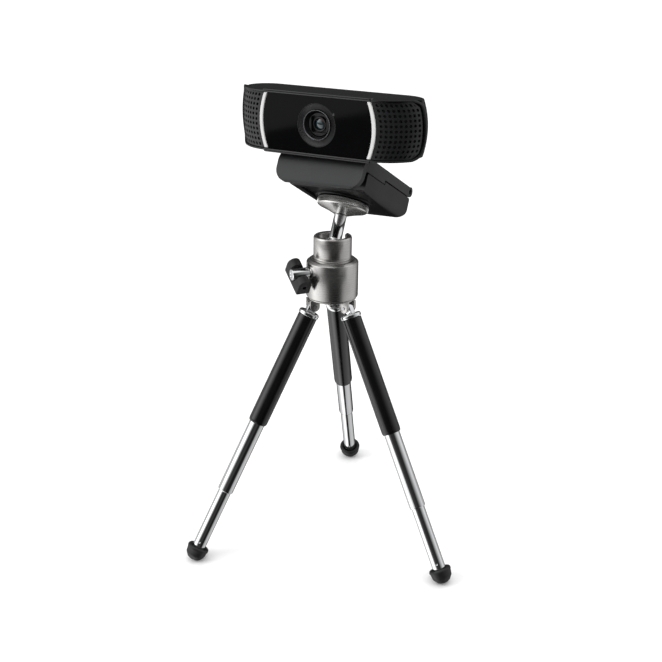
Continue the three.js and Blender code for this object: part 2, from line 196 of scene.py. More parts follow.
def temporary(bm, name="cutter"):
    mesh = bpy.data.meshes.new(name)
    bm.to_mesh(mesh)
    bm.free()
    obj = bpy.data.objects.new(name, mesh)
    bpy.context.scene.collection.objects.link(obj)
    return obj


def carved(bm, *cutters, keep="DIFFERENCE"):
    """Cut the cutters out of a shape, or keep only what lies inside them."""
    body = temporary(bm, "body")
    tools = [temporary(c) for c in cutters]
    for tool in tools:
        mod = body.modifiers.new("carve", "BOOLEAN")
        mod.operation, mod.solver, mod.object = keep, "EXACT", tool
    shown = body.evaluated_get(bpy.context.evaluated_depsgraph_get())
    result = bmesh.new()
    result.from_mesh(shown.to_mesh())
    shown.to_mesh_clear()
    for obj in [body, *tools]:
        mesh = obj.data
        bpy.data.objects.remove(obj)
        bpy.data.meshes.remove(mesh)
    bmesh.ops.remove_doubles(result, verts=result.verts, dist=0.0005)
    return result


def piece(name, bm, place, body, material, replaces=(), ease=0.0, segments=2, angle=32):
    """Lay a finished shape into the row frame as one piece of the object."""
    bmesh.ops.transform(bm, matrix=place, verts=bm.verts)
    if place.determinant() < 0:
        bmesh.ops.reverse_faces(bm, faces=bm.faces)
    mesh = bpy.data.meshes.new(name)
    bm.to_mesh(mesh)
    bm.free()
    mesh.shade_smooth()
    obj = bpy.data.objects.new(name, mesh)
    bpy.context.scene.collection.objects.link(obj)
    mesh.materials.append(material)
    if ease:
        mod = obj.modifiers.new("eased edges", "BEVEL")
        mod.width, mod.segments, mod.limit_method = ease * MM, segments, "ANGLE"
        mod.angle_limit, mod.harden_normals = math.radians(angle), True
    else:
        mesh.set_sharp_from_angle(angle=math.radians(angle))
    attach(obj, body)
    if replaces:
        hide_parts(*replaces)
    return obj


# ---- finishes -----------------------------------------------------------------------------
class Nodes:
    """Short way to add and link shader nodes."""

    def __init__(self, name):
        self.material = bpy.data.materials.new(name)
        self.material.use_nodes = True
        self.tree = self.material.node_tree
        self.shader = self.tree.nodes["Principled BSDF"]

    def add(self, kind, settings=None, **inputs):
        node = self.tree.nodes.new(kind)
        for key, value in (settings or {}).items():
            setattr(node, key, value)
        for key, value in inputs.items():
            self.feed(node.inputs[key.replace("_", " ")], value)
        return node

    def feed(self, socket, value):
        if isinstance(value, bpy.types.NodeSocket):
            self.tree.links.new(value, socket)
        else:
            socket.default_value = value

    def place(self):
        return self.add("ShaderNodeTexCoord").outputs["Object"]

    def noise(self, size, detail=3.0, rough=0.5, vector=None):
        """Noise whose features are about size millimetres across."""
        node = self.add("ShaderNodeTexNoise", Scale=1 / (size * MM), Detail=detail, Roughness=rough)
        self.feed(node.inputs["Vector"], vector or self.place())
        return node.outputs["Fac"]

    def ramp(self, value, low, high, out_low, out_high):
        node = self.add("ShaderNodeMapRange")
        for key, v in (("Value", value), ("From Min", low), ("From Max", high), ("To Min", out_low),
                       ("To Max", out_high)):
            self.feed(node.inputs[key], v)
        return node.outputs["Result"]

    def shades(self, value, *stops):
        """Colour ramp through (position, colour) stops."""
        node = self.add("ShaderNodeValToRGB")
        self.feed(node.inputs["Fac"], value)
        elements = node.color_ramp.elements
        while len(elements) < len(stops):
            elements.new(0.5)
        for element, (at, colour) in zip(elements, stops):
            element.position, element.color = at, (*colour, 1)
        return node.outputs["Color"]

    def bump(self, height, distance, normal=None):
        node = self.add("ShaderNodeBump", Distance=distance * MM, Height=height)
        if normal:
            self.feed(node.inputs["Normal"], normal)
        return node.outputs["Normal"]

    def set(self, **inputs):
        for key, value in inputs.items():
            self.feed(self.shader.inputs[key.replace("_", " ")], value)
        return self.material


def scaled(colour, k):
    return tuple(min(1.0, c * k) for c in colour)


def finish(name, colour, rough, metallic=0.0, patch=0.04, patch_size=14, shade=0.12, grain=0.0,
           grain_size=0.3, coat=0.0, scratch=0.0, specular=0.5):
    """Moulded, painted or plated surface: cloudy gloss and colour, fine grain and hairline marks."""
    n = Nodes(name)
    cloud = n.noise(patch_size)
    n.set(Base_Color=n.shades(cloud, (0.3, scaled(colour, 1 - shade)), (0.7, scaled(colour, 1 + shade))),
          Roughness=n.ramp(cloud, 0.3, 0.7, max(0.01, rough - patch), rough + patch),
          Metallic=metallic, Coat_Weight=coat, Coat_Roughness=0.04, Specular_IOR_Level=specular)
    normal = None
    if scratch:
        stretch = n.add("ShaderNodeMapping", Scale=(1, 0.06, 0.9), Rotation=(0.3, 0.5, 0.7))
        n.feed(stretch.inputs["Vector"], n.place())
        normal = n.bump(n.noise(0.16, 2, vector=stretch.outputs["Vector"]), scratch)
    if grain:
        normal = n.bump(n.noise(grain_size, 4, 0.6), grain, normal)
    if normal:
        n.set(Normal=normal)
    return n.material


def turned_finish(name, colour, rough, axis, line=0.16, depth=0.004, grain=0.003, metal=1.0):
    """Lathe-turned metal: fine rings round the axis, over a faint satin grain."""
    n = Nodes(name)
    along = n.add("ShaderNodeVectorMath", {"operation": "DOT_PRODUCT"})
    n.feed(along.inputs[0], n.place())
    along.inputs[1].default_value = axis.normalized()
    rings = n.add("ShaderNodeTexNoise", {"noise_dimensions": "1D"}, Scale=1 / (line * MM), Detail=2.0)
    n.feed(rings.inputs["W"], along.outputs["Value"])
    cloud = n.noise(6, 3)
    n.set(Base_Color=n.shades(cloud, (0.3, scaled(colour, 0.93)), (0.7, scaled(colour, 1.05))),
          Metallic=metal, Roughness=n.ramp(rings.outputs["Fac"], 0.3, 0.7, rough - 0.05, rough + 0.06),
          Normal=n.bump(n.noise(0.25, 3), grain, n.bump(rings.outputs["Fac"], depth)))
    return n.material


def board_finish():
    """Green solder mask with copper tracks and pads under it."""
    n = Nodes("circuit_board")
    cells = n.add("ShaderNodeTexVoronoi", {"feature": "DISTANCE_TO_EDGE"}, Scale=420.0)
    n.feed(cells.inputs["Vector"], n.place())
    pads = n.add("ShaderNodeTexVoronoi", Scale=900.0)
    n.feed(pads.inputs["Vector"], n.place())
    mask = n.shades(cells.outputs["Distance"], (0.03, (0.05, 0.2, 0.1)), (0.07, (0.015, 0.09, 0.045)))
    spots = n.ramp(pads.outputs["Distance"], 0.12, 0.16, 1.0, 0.0)
    mix = n.add("ShaderNodeMix", {"data_type": "RGBA"})
    n.feed(mix.inputs["Factor"], spots)
    n.feed(mix.inputs["A"], mask)
    mix.inputs["B"].default_value = (0.6, 0.6, 0.58, 1)
    return n.set(Base_Color=mix.outputs["Result"], Roughness=0.35, Metallic=n.ramp(spots, 0, 1, 0.0, 0.7))


def lens_glass_painted_glints_finish(centre, axis):
    """Coated lens glass: dark middle, with painted teal and amber coating reflections towards the rim, pushed
    to one side along axis.
    """
    n = Nodes("lens_glass")
    offset = n.add("ShaderNodeVectorMath", {"operation": "SUBTRACT"})
    n.feed(offset.inputs[0], n.place())
    offset.inputs[1].default_value = centre
    reach = n.add("ShaderNodeVectorMath", {"operation": "LENGTH"})
    n.feed(reach.inputs[0], offset.outputs["Vector"])
    tilt = n.add("ShaderNodeVectorMath", {"operation": "DOT_PRODUCT"})
    n.feed(tilt.inputs[0], offset.outputs["Vector"])
    tilt.inputs[1].default_value = axis
    mixed = n.add("ShaderNodeMath", {"operation": "ADD"})
    n.feed(mixed.inputs[0], n.ramp(reach.outputs["Value"], 0, 3.6 * MM, 0, 0.8))
    n.feed(mixed.inputs[1], n.ramp(tilt.outputs["Value"], -3 * MM, 3 * MM, -0.12, 0.2))
    # teal and amber rings in the base colour, lopsided along axis: painted reflections of the coating, not a
    # colour of the glass
    painted_coating_glints = n.shades(mixed.outputs["Value"], (0.1, (0.01, 0.012, 0.015)), (0.38, (0.012, 0.045, 0.055)),
                    (0.52, (0.01, 0.02, 0.03)), (0.68, (0.16, 0.07, 0.04)), (0.8, (0.01, 0.01, 0.012)))
    return n.set(Base_Color=painted_coating_glints, Roughness=n.ramp(n.noise(1.0), 0.3, 0.7, 0.02, 0.05), Coat_Weight=1.0,
                 Coat_Roughness=0.02, Specular_IOR_Level=0.8)


chrome = finish("chrome", (0.86, 0.87, 0.88), 0.07, 1.0, patch=0.03, patch_size=9, shade=0.03,
                scratch=0.0006)
steel = finish("steel", (0.5, 0.5, 0.51), 0.3, 1.0, grain=0.004)
sleeve_paint = finish("sleeve_paint", (0.004, 0.004, 0.0045), 0.2, coat=0.3, patch=0.04, grain=0.0008,
                      grain_size=0.9)
rubber = finish("rubber", (0.012, 0.012, 0.0125), 0.5, patch=0.1, grain=0.03, grain_size=0.4)
nickel = turned_finish("nickel", (0.62, 0.61, 0.595), 0.27, hub_up)
wheel_metal = turned_finish("wheel_metal", (0.88, 0.87, 0.85), 0.22,
                            direction("wheel_turn"), line=0.3, metal=0.85)
nylon = finish("nylon", (0.72, 0.7, 0.63), 0.5, grain=0.01)
clip_plastic = finish("clip_plastic", (0.026, 0.027, 0.028), 0.5, patch=0.05, grain=0.018,
                      grain_size=0.22)
foot_plastic = finish("foot_plastic", (0.009, 0.009, 0.0095), 0.34, patch=0.05, grain=0.012,
                      grain_size=0.22, specular=0.32)
brass = finish("brass", (0.62, 0.45, 0.19), 0.25, 1.0, grain=0.004)
housing_plastic = finish("housing_plastic", (0.007, 0.0075, 0.008), 0.4, grain=0.012, grain_size=0.2)
bezel_plastic = finish("bezel_plastic", (0.006, 0.0065, 0.007), 0.16, patch=0.05, grain=0.02,
                       grain_size=3.0)
face_gloss = finish("face_gloss", (0.0016, 0.0018, 0.0021), 0.04, patch=0.015, coat=0.3, scratch=0.0001)
strip_white = finish("strip_white", (0.97, 0.97, 0.96), 0.32, patch=0.03, shade=0.03, grain=0.003)
grille_plastic = finish("grille_plastic", (0.016, 0.0165, 0.0175), 0.27, grain=0.01, grain_size=0.25)
lens_black = finish("lens_black", (0.007, 0.007, 0.008), 0.28, patch=0.05, grain=0.003)
# brighter grey metal for the lens ring's inner bevel: a painted highlight ring
lens_edge_painted_highlight = finish("lens_edge_painted_highlight", (0.2, 0.2, 0.21), 0.24, 1.0, grain=0.003)
sensor_face = finish("sensor_face", (0.06, 0.07, 0.08), 0.2, 0.4, grain=0.002)
circuit_board = board_finish()


# ---- legs ---------------------------------------------------------------------------------
def leg_cap():
    collar = spun([(0, -3.2), (4.3, -3.2), (4.85, -3.75), (4.85, -5.2), (3.7, -5.2), (3.7, -9), (0, -9)])
    tongue = slab([(2.2, -3.6), *arc(0, 0, 2.2, 0, 180, 14), (-2.2, -3.6)], -1.4, 1.4,
                  UP_Y)
    return merged(eased(collar, 0.22), eased(tongue, 0.25))


def rubber_foot(foot):
    """A cup round the tube: a rolled lip, a band tapering to a step, and a domed sole."""
    shape = [(0, -FOOT_R), *arc(0, 0, FOOT_R, -85, -52, 8), (4.35, -2.55), (4.55, -2.2), (4.62, -1.9),
             (4.9, 0.3), (5.1, 0.55), (FOOT_R, 0.95), (5.1, 1.5), (4.85, 1.85), (4.45, 1.98), (4.05, 1.8),
             (3.6, 1.1), (3.25, 0.8), (3.25, -1.2), (0, -1.2)]
    return spun([(r, z + foot) for r, z in shape], 64)


def flat_sole(bm, place):
    """Wear the dome flat where it meets the ground."""
    bmesh.ops.transform(bm, matrix=place, verts=bm.verts)
    cut = bmesh.ops.bisect_plane(bm, geom=bm.verts[:] + bm.edges[:] + bm.faces[:], plane_co=(0, 0, 2e-5),
                                 plane_no=(0, 0, 1), clear_inner=True)["geom_cut"]
    bmesh.ops.edgeloop_fill(bm, edges=[g for g in cut if isinstance(g, bmesh.types.BMEdge)])
    bmesh.ops.recalc_face_normals(bm, faces=bm.faces)
    return bm


for side, (azimuth, mid_long) in LEGS.items():
    mid_end = -SLEEVE_END - mid_long
    foot = mid_end - LOWER_LONG
    leg, mid, lower = f"leg_{side}", f"mid_{side}", f"lower_{side}"
    place = LEG[side]
    piece(f"cap_{side}", leg_cap(), place, leg, chrome, [f"leg_cap_{side}"], angle=40)
    sleeve = spun([(4.02, -5.5), (4.5, -5.5), (4.5, -59.9), (4.38, -60.8), (4.12, -61.35), (4.0, -61.4),
                   (3.8, -61.0), (3.8, -60.2), (4.02, -60.0)])
    piece(f"black_sleeve_{side}", sleeve, place, leg, sleeve_paint, [f"sleeve_{side}"],
          ease=0.12)
    middle = spun([(3.37, mid_end + 1.0), (3.2, mid_end + 0.6), (3.2, mid_end), (3.45, mid_end),
                   (3.62, mid_end + 0.2), (3.67, mid_end + 0.55), (3.67, mid_end + 55),
                   (3.37, mid_end + 55)])
    piece(f"chrome_tube_{side}", middle, place, mid, chrome, [f"mid_tube_{side}"], angle=40)
    tube = spun([(2.5, foot - 1), (3.05, foot - 1), (3.05, foot + 49), (2.5, foot + 49)], 64)
    dimple = bmesh.new()
    bmesh.ops.create_uvsphere(dimple, u_segments=16, v_segments=10, radius=0.62)
    towards = math.radians({"left": 55, "right": -60, "back": 180}[side])
    bmesh.ops.translate(dimple, vec=(3.35 * math.cos(towards), 3.35 * math.sin(towards), foot + 4.6),
                        verts=dimple.verts)
    piece(f"thin_tube_{side}", carved(tube, dimple), place, lower, chrome,
          [f"lower_tube_{side}"], angle=40)
    piece(f"rubber_foot_{side}", flat_sole(rubber_foot(foot), place), Matrix.Identity(4), lower, rubber,
          [f"foot_{side}"], angle=60)


# ---- hub, clamp and stem ------------------------------------------------------------------
hub_shell = spun([(4.6, HUB_LOW), (11.4, HUB_LOW), (HUB_R - 0.12, HUB_LOW + 0.25), (HUB_R, HUB_LOW + 0.6),
                  (HUB_R, SHOULDER - 0.2), (HUB_R - 0.1, SHOULDER + 0.05), (10.5, SHOULDER + 1.2),
                  (10.2, SHOULDER + 1.35), (9.0, SHOULDER + 1.6), (8.6, SHOULDER + 1.9),
                  (8.5, SHOULDER + 2.2), (8.6, SHOULDER + 2.5), (NECK_R - 0.05, SHOULDER + 2.8),
                  (NECK_R, SHOULDER + 3),
                  (NECK_R, HUB_TOP - 0.7), (NECK_R - 0.12, HUB_TOP - 0.35), (8.4, HUB_TOP - 0.05),
                  (8.1, HUB_TOP), (6.6, HUB_TOP - 0.1), (6.15, HUB_TOP - 0.45), (6.15, HUB_TOP - 0.9),
                  (6.7, BALL_Z + 3.6), (6.7, 135.2), (4.6, 135.2)], 128)
notch = slab([(-3.5, HUB_TOP + 1), *arc(0, BALL_Z + 4.6, 3.5, 180, 360, 20), (3.5, HUB_TOP + 1)], -12, -4,
             UP_Y)
screw_hole = spun([(0, 2), (2.5, 2), (2.5, 11.2), (3.1, 11.5), (3.1, 14), (0, 14)], 32,
                  TURN_X)
bmesh.ops.transform(screw_hole, matrix=HUB.inverted() @ KNOB, verts=screw_hole.verts)
piece("turned_hub", carved(hub_shell, notch, screw_hole), HUB, "hub", nickel, ["hub_body"],
      angle=24)

ears = []
for azimuth, _ in LEGS.values():
    for low, high in ((-3.3, -1.75), (1.75, 3.3)):
        ear = eased(slab([(2.3, 3.1), (-2.3, 3.1), *arc(0, 0, 2.3, 180, 360, 12)], low, high,
                         UP_Y), 0.2)
        bmesh.ops.transform(ear, matrix=Matrix.Rotation(math.radians(azimuth), 4, "Z")
                            @ Matrix.Translation((PIVOT_R, 0, PIVOT_Z)), verts=ear.verts)
        ears.append(ear)
base = spun([(0, 119.6), (10.8, 119.6), (11.1, 119.9), (11.1, 120.3), (10.9, 120.5), (0, 120.5)], 96)
piece("base_plate", merged(base, *ears), HUB, "hub", nickel, ["hub_base"], angle=35)

barrel = spun([(0, 3.5), (2.2, 3.5), (2.2, 12.3), (2.45, 12.3), (2.65, 12.5), (2.65, 20.25), (2.5, 20.55),
               (2.2, 20.7), (1.2, 20.7), (1.0, 20.5), (0, 20.5)], 48, TURN_X)
piece("clamp_barrel", barrel, KNOB, "clamp_knob", chrome, ["clamp_screw"], angle=28)

# the wing's section, (out, up), pushed along its length
wing = slab([*arc(0, -0.6, 3.2, 0, 180, 16), (-3.3, -5.0), (-2.9, -5.4), (2.9, -5.4), (3.3, -5.0)],
            -7.6, 7.6, UP_Y)
wing = eased(wing, 0.5, 3)
saddle = slab(rounded(3.4, 5.0, 1.2), -6, 6, Matrix.Translation((0, 0, 4.9)) @ TURN_X)
bmesh.ops.rotate(saddle, cent=(0, 0, 4.9), matrix=UP_Y.to_3x3(), verts=saddle.verts)
shaft_hole = spun([(0, -12), (2.9, -12), (2.9, 12), (0, 12)], 40, TURN_X)
core_holes = [spun([(0, a), (0.95, a), (0.95, b), (0, b)], 20,
                   Matrix.Translation((0, 0, -1.4)) @ UP_Y)
              for a, b in ((-9, -5.6), (5.6, 9))]
wing = carved(wing, shaft_hole, saddle, *core_holes)
piece("wing_handle", wing, KNOB @ Matrix.Translation((KNOB_OUT, 0, 0))
      @ Matrix.Rotation(math.radians(-KNOB_TILT), 4, "X"), "clamp_knob", rubber, ["knob_handle"],
      ease=0.2)

ball_top = math.degrees(math.acos(STEM_R / BALL_R))
stem = spun([(0, -BALL_R), *arc(0, 0, BALL_R, -86, ball_top - 3, 30), (STEM_R + 0.25, 5.9), (STEM_R, 6.3),
             (STEM_R, 22.9), (2.6, 23.2), (0, 23.2)], 72)
piece("ball_and_stem", stem, STEM, "ball", chrome, ["ball_stem"], angle=45)


def knurled_wheel():
    """The wheel on its cone, its rim drawn in between the teeth."""
    bm = spun([(3.15, 17.4), (3.45, 17.4), (3.75, 17.5), (7.2, 18.9), (11.0, 20.1), (11.45, 20.35),
               (11.7, 20.7), (WHEEL_R, 20.95), (WHEEL_R, 23.05), (11.7, 23.3), (11.4, 23.5), (10.2, 23.5),
               (9.8, 23.3), (3.15, 23.3)], WHEEL_TEETH * 4)
    for v in bm.verts:
        r = math.hypot(v.co.x, v.co.y)
        if r > 11.9:
            step = round(math.atan2(v.co.y, v.co.x) / math.tau * WHEEL_TEETH * 4)
            pull = TOOTH_DEPTH * (0.0, 0.5, 1.0, 0.5)[step % 4]
            v.co.x *= (r - pull) / r
            v.co.y *= (r - pull) / r
    return bm


piece("knurled_thumbwheel", knurled_wheel(), STEM, "wheel", wheel_metal, ["thumbwheel"],
      angle=30)


# ---- clip ---------------------------------------------------------------------------------
def bar_x(r, x0, x1, y, z, steps=32):
    bm = spun([(0, x0), (r, x0), (r, x1), (0, x1)], steps, ALONG_X)
    bmesh.ops.translate(bm, vec=(0, y, z), verts=bm.verts)
    return bm


def box_of(x0, x1, y0, y1, z0, z1, r=0.0):
    if r:
        bm = slab(rounded((x1 - x0) / 2, (y1 - y0) / 2, r), z0, z1)
        bmesh.ops.translate(bm, vec=((x0 + x1) / 2, (y0 + y1) / 2, 0), verts=bm.verts)
        return bm
    return slab([(x0, y0), (x1, y0), (x1, y1), (x0, y1)], z0, z1)


pin_y, pin_z = CLIP_PIN
tilt_y, tilt_z = TILT_PIN
foot_side = [*arc(-17, 28.4, 3.5, 180, 270, 10), *arc(20, 28.6, 5.1, 270, 360, 14), (25.1, 33.1),
             *arc(24.0, 33.1, 1.1, 0, 90, 4), (-2.5, 34.2), (-2.5, 32.7),
             *arc(-19.7, 31.9, 0.8, 90, 180, 4)]
foot_front = [*arc(-FOOT_HALF + 5, 28.45, 5, 180, 270, 12), *arc(FOOT_HALF - 5, 28.45, 5, 270, 360, 12),
              (FOOT_HALF, 40), (-FOOT_HALF, 40)]
block = carved(slab(foot_side, -FOOT_HALF - 1, FOOT_HALF + 1, ALONG_X), slab(foot_front, -30, 30, UP_Y),
               keep="INTERSECT")
block = carved(block, box_of(-15.5, -9.6, -15.5, 12, 22, 25.8, 1.0),
               spun([(0, 20), (4.7, 20), (4.7, 32.2), (0, 32.2)], 40),
               box_of(-16.2, 16.2, 2.8, 18.2, 33.5, 36), bar_x(1.25, -9, 9, pin_y, pin_z))
ring = eased(spun([(4.7, 24.6), (4.7, 23.95), (5.4, 23.9), (8.6, 23.9), (8.9, 24.3), (10.9, 24.3),
                   (11.2, 23.9), (13.0, 23.9), (13.3, 24.1), (13.3, 25.2), (4.7, 25.2)], 80), 0.08, 2)
web = slab([*arc(pin_y, pin_z, 2.6, -10, 190, 16), (20.8, 32.5), (20.8, 31.5), (24.0, 31.5), (24.6, 33.0)],
           -7.5, 7.5, ALONG_X)
web = carved(web, bar_x(1.25, -9, 9, pin_y, pin_z))
piece("clip_foot_block", merged(block, ring, eased(web, 0.3, 2)), STEM, "clip", foot_plastic,
      ["clip_foot"], ease=0.22)

arm_side = [(-28.4, 26), (-28.35, 24.7), (-28.1, 23.9), (-27.6, 23.45), (-27.0, 23.4), (-26.4, 23.5),
            (-25.9, 23.9), (-25.6, 24.6), (-25.6, 30), (-25.3, 31.2), (-24.6, 32.1), (-23.6, 32.8),
            (-22.4, 33.1), (-2.8, 33.1), (-2.8, 34.9), (pin_y, 34.9), *arc(pin_y, pin_z, 2.5, -80, 74, 14),
            (24.0, 39.4), (-16, 39.4), (-20, 39.3), (-22.8, 38.9), (-25, 38.1), (-26.7, 36.9),
            (-27.8, 35.3), (-28.3, 33.4)]
arm_front = [*arc(-CLIP_HALF + 6.5, 29.85, 6.5, 180, 270, 14),
             *arc(CLIP_HALF - 6.5, 29.85, 6.5, 270, 360, 14), (CLIP_HALF, 45), (-CLIP_HALF, 45)]
arm_plan = [(-22.8, -30), (22.8, -30), (22.8, -26.2), (21.8, -25.4), (20.4, -22), (19.8, 29), (-19.8, 29),
            (-20.4, -22), (-21.8, -25.4), (-22.8, -26.2)]
arm = carved(slab(arm_side, -CLIP_HALF - 1, CLIP_HALF + 1, ALONG_X), slab(arm_front, -40, 40, UP_Y),
             slab(arm_plan, 20, 45), keep="INTERSECT")
arm = carved(merged(arm, bar_x(2.2, -7.3, 7.3, tilt_y, tilt_z)),
             *[bar_x(2.75, *sorted((s * 7.35, s * 11.75)), tilt_y, tilt_z) for s in (-1, 1)],
             box_of(-7.9, 7.9, 20.4, 30, 30, 45, 0.8), bar_x(1.25, -30, 30, pin_y, pin_z))
piece("clip_arm_plate", arm, STEM, "arm", clip_plastic, ["clip_arm"], ease=0.28)


# ---- webcam -------------------------------------------------------------------------------
def wrap(bm, inset):
    """Lay a skin given as (along, 0, z) on the face, whose ends wrap back on an arc."""
    for v in bm.verts:
        along, z = v.co.x, v.co.z
        over = max(0.0, abs(along) - FLAT) / END_R
        r = END_R - inset
        x = min(abs(along), FLAT) + r * math.sin(over) - BARREL * (z / END_HALF) ** 2 * over / 1.2
        v.co = (math.copysign(x, along), END_R - r * math.cos(over), z)
    return bm


def bow(z):
    return STRIP_AT + STRIP_BOW * (1 - (z / INNER_HALF) ** 2)


def facing_front(bm):
    """Turn an open skin so that its faces point forward."""
    bm.normal_update()
    if sum(f.normal.y * f.calc_area() for f in bm.faces) > 0:
        bmesh.ops.reverse_faces(bm, faces=bm.faces)
    return bm


def end_s(z, half, reach, limit):
    """How far along the face an end goes at height z: bowed, with rounded corners."""
    t = z / half
    x = reach - 0.3 * t * t - 2.6 * abs(t) ** 12
    return min(limit, FLAT + END_R * math.asin(min(1.0, (x - FLAT) / END_R)))


def end_loop(bm, half, reach, limit):
    """Closed loop of edges along the top, both bowed ends and the bottom of the face."""
    heights = [half * math.sin(math.pi / 2 * i / 14) for i in range(-14, 15)]
    right = [(end_s(z, half, reach, limit), z) for z in heights]
    corner = right[-1][0]
    top = [(corner * (1 - 2 * i / 48), half) for i in range(1, 48)]
    points = [*right, *top, *[(-s, -z) for s, z in right], *[(-s, -z) for s, z in top]]
    verts = [bm.verts.new((s, 0, z)) for s, z in points]
    return [bm.edges.new((a, b)) for a, b in zip(verts, verts[1:] + verts[:1])]


RIM_S, OPENING_S, GRILLE_S = 53, 52.4, 52.1        # how far round the face each of them goes
rim = bmesh.new()
rims = end_loop(rim, END_HALF, END_REACH, RIM_S) + end_loop(rim, INNER_HALF, END_REACH - 0.6, OPENING_S)
bmesh.ops.bridge_loops(rim, edges=rims)
rim = eased(thick(facing_front(wrap(rim, 0.0)), 3.0), 0.3, 3)
lips = []
for low, high in ((INNER_HALF, LIP_HALF), (-LIP_HALF, -INNER_HALF)):
    lip = sheet_of(60, 2, lambda u, v, a=low, b=high: (
        u * (bow((a * (1 - v) + b * (1 + v)) / 2) + 1.8), 0, (a * (1 - v) + b * (1 + v)) / 2))
    lips.append(eased(thick(facing_front(wrap(lip, -0.12)), 3.1), 0.55, 5))
piece("bezel_rim", merged(rim, *lips), HEAD, "webcam", bezel_plastic, ["front_bezel"],
      angle=50)

inner = INNER_HALF - 0.25
panel = sheet_of(64, 20, lambda u, v: (u * (bow(v * inner) - 1.15), 0, v * inner))
panel = thick(facing_front(wrap(panel, 0.65)), 1.6)
lens_hole = spun([(0, -2), (9.7, -2), (9.7, 6), (0, 6)], 96, TURN_Y)
piece("gloss_panel", carved(panel, lens_hole), HEAD, "webcam", face_gloss, ["face_panel"],
      ease=0.18)

HOLE_COLUMNS, HOLE_ROWS, HOLE_PITCH = 9, 11, 2.2
FIRST_HOLE, EDGE_BAND = 2.3, 0.35                  # from the strip's middle line; from the grille's edge


def grille_edge(z):
    return end_s(z, INNER_HALF, END_REACH - 1.0, GRILLE_S)


def grille_skin(side):
    """Skin with rows of round holes, its columns bowing from the strip's curve to the end's."""
    columns, rows = HOLE_COLUMNS + 2, HOLE_ROWS + 2

    def lay(u, v):
        i, j = round((u + 1) / 2 * columns), round((v + 1) / 2 * rows)
        z = HOLE_PITCH * (j - 1 - HOLE_ROWS / 2)
        z = -inner if j == 0 else inner if j == rows else z
        first, last = bow(z) + FIRST_HOLE, grille_edge(min(abs(z), 11.5)) - EDGE_BAND
        s = first + (last - first) * (i - 1) / HOLE_COLUMNS
        s = min(s, grille_edge(z) - 0.2 * (columns - i))
        return (side * (bow(z) + 1.1 if i == 0 else grille_edge(z) if i == columns else s), 0, z)

    bm = sheet_of(columns, rows, lay)
    cells = [f for f in bm.faces if all(len(v.link_faces) == 4 for v in f.verts)]
    bmesh.ops.inset_individual(bm, faces=cells, thickness=0.46, use_even_offset=True)
    corners = {v for f in cells for v in f.verts}
    bmesh.ops.bevel(bm, geom=list(corners), offset=0.34, offset_type="OFFSET", segments=1, profile=0.5,
                    affect="VERTICES", material=-1)
    holes = [f for f in bm.faces if len(f.verts) == 8 and f.calc_area() < 2.5]
    bmesh.ops.delete(bm, geom=holes, context="FACES")
    return bm


for side, sign in (("left", -1), ("right", 1)):
    strip = sheet_of(3, 36, lambda u, v, k=sign: (k * (bow(v * inner) + u * STRIP_WIDE), 0, v * inner))
    piece(f"white_strip_{side}", thick(facing_front(wrap(strip, 0.3)), 1.5), HEAD, "webcam", strip_white,
          [f"light_strip_{side}"], ease=0.4, segments=3)
    skin = thick(facing_front(wrap(grille_skin(sign), 0.9)), 0.7)
    lining = sheet_of(16, 12, lambda u, v, k=sign: (
        k * ((bow(v * inner) + 1.1) * (1 - u) / 2 + grille_edge(v * inner) * (1 + u) / 2), 0, v * inner))
    lining = thick(facing_front(wrap(lining, 1.9)), 0.5)
    piece(f"perforated_grille_{side}", merged(skin, lining), HEAD, "webcam", grille_plastic,
          [f"grille_{side}"], angle=40)

# rear shell: plan outline pushed up, ends bowed and back domed, hollowed, open to the front
CORD_Z, SCREW_X = -3, 30                           # the cord's hole, below the middle; the case screws
END_DRAW, BACK_DOME = 1.6, 3.0                     # how far ends and back draw in at top and bottom
case = [*[(FLAT + (END_R - 3.3) * math.sin(a / 10), END_R - (END_R - 3.3) * math.cos(a / 10))
          for a in range(1, 13)], (45.4, 15.2), *arc(33.5, 15.5, 12, 2, 90, 12)]
case = [(-FLAT, 3.3), (FLAT, 3.3), *case, *[(-x, y) for x, y in reversed(case)]]
shell = slab(case, -CASE_HALF, CASE_HALF)
uprights = [e for e in shell.edges if abs(e.verts[0].co.z - e.verts[1].co.z) > 10]
bmesh.ops.subdivide_edges(shell, edges=uprights, cuts=11)
for v in shell.verts:
    high = (v.co.z / CASE_HALF) ** 2
    v.co.x -= math.copysign(END_DRAW * high * max(0.0, (abs(v.co.x) - FLAT) / 20.3), v.co.x)
    v.co.y -= BACK_DOME * high * max(0.0, (v.co.y - 14) / 13.5)
shell.normal_update()
front_faces = [f for f in shell.faces if f.normal.y < -0.35 and f.calc_center_median().y < 15]
bmesh.ops.delete(shell, geom=front_faces, context="FACES")
lug_side = [(11.7, -11.7), *arc(14, -15.2, 2.3, 180, 360, 16), (16.3, -11.7)]
lugs = [eased(slab(lug_side, low, high, ALONG_X), 0.25) for low, high in ((-11.3, -7.7), (7.7, 11.3))]
for lug in lugs:                                   # square to the clip, not to the crooked webcam
    bmesh.ops.transform(lug, matrix=HEAD.inverted() @ SQUARE_HEAD, verts=lug.verts)
rear = eased(shell, 4.2, 7, where=lambda p: abs(p.z) > CASE_HALF - 0.9 and p.y > 15.6)
rear = thick(rear, 1.7)
ports = [spun([(0, 20), (3.3, 20), (3.3, 30), (0, 30)], 40, Matrix.Translation((0, 0, CORD_Z)) @ TURN_Y),
         *[spun([(0, 26.3), (2.1, 26.3), (2.1, 30), (0, 30)], 32,
                Matrix.Translation((sign * SCREW_X, 0, 0)) @ TURN_Y) for sign in (-1, 1)]]
piece("rear_shell", merged(carved(rear, *ports), *lugs), HEAD, "webcam", housing_plastic,
      ["rear_housing"], ease=0.2)

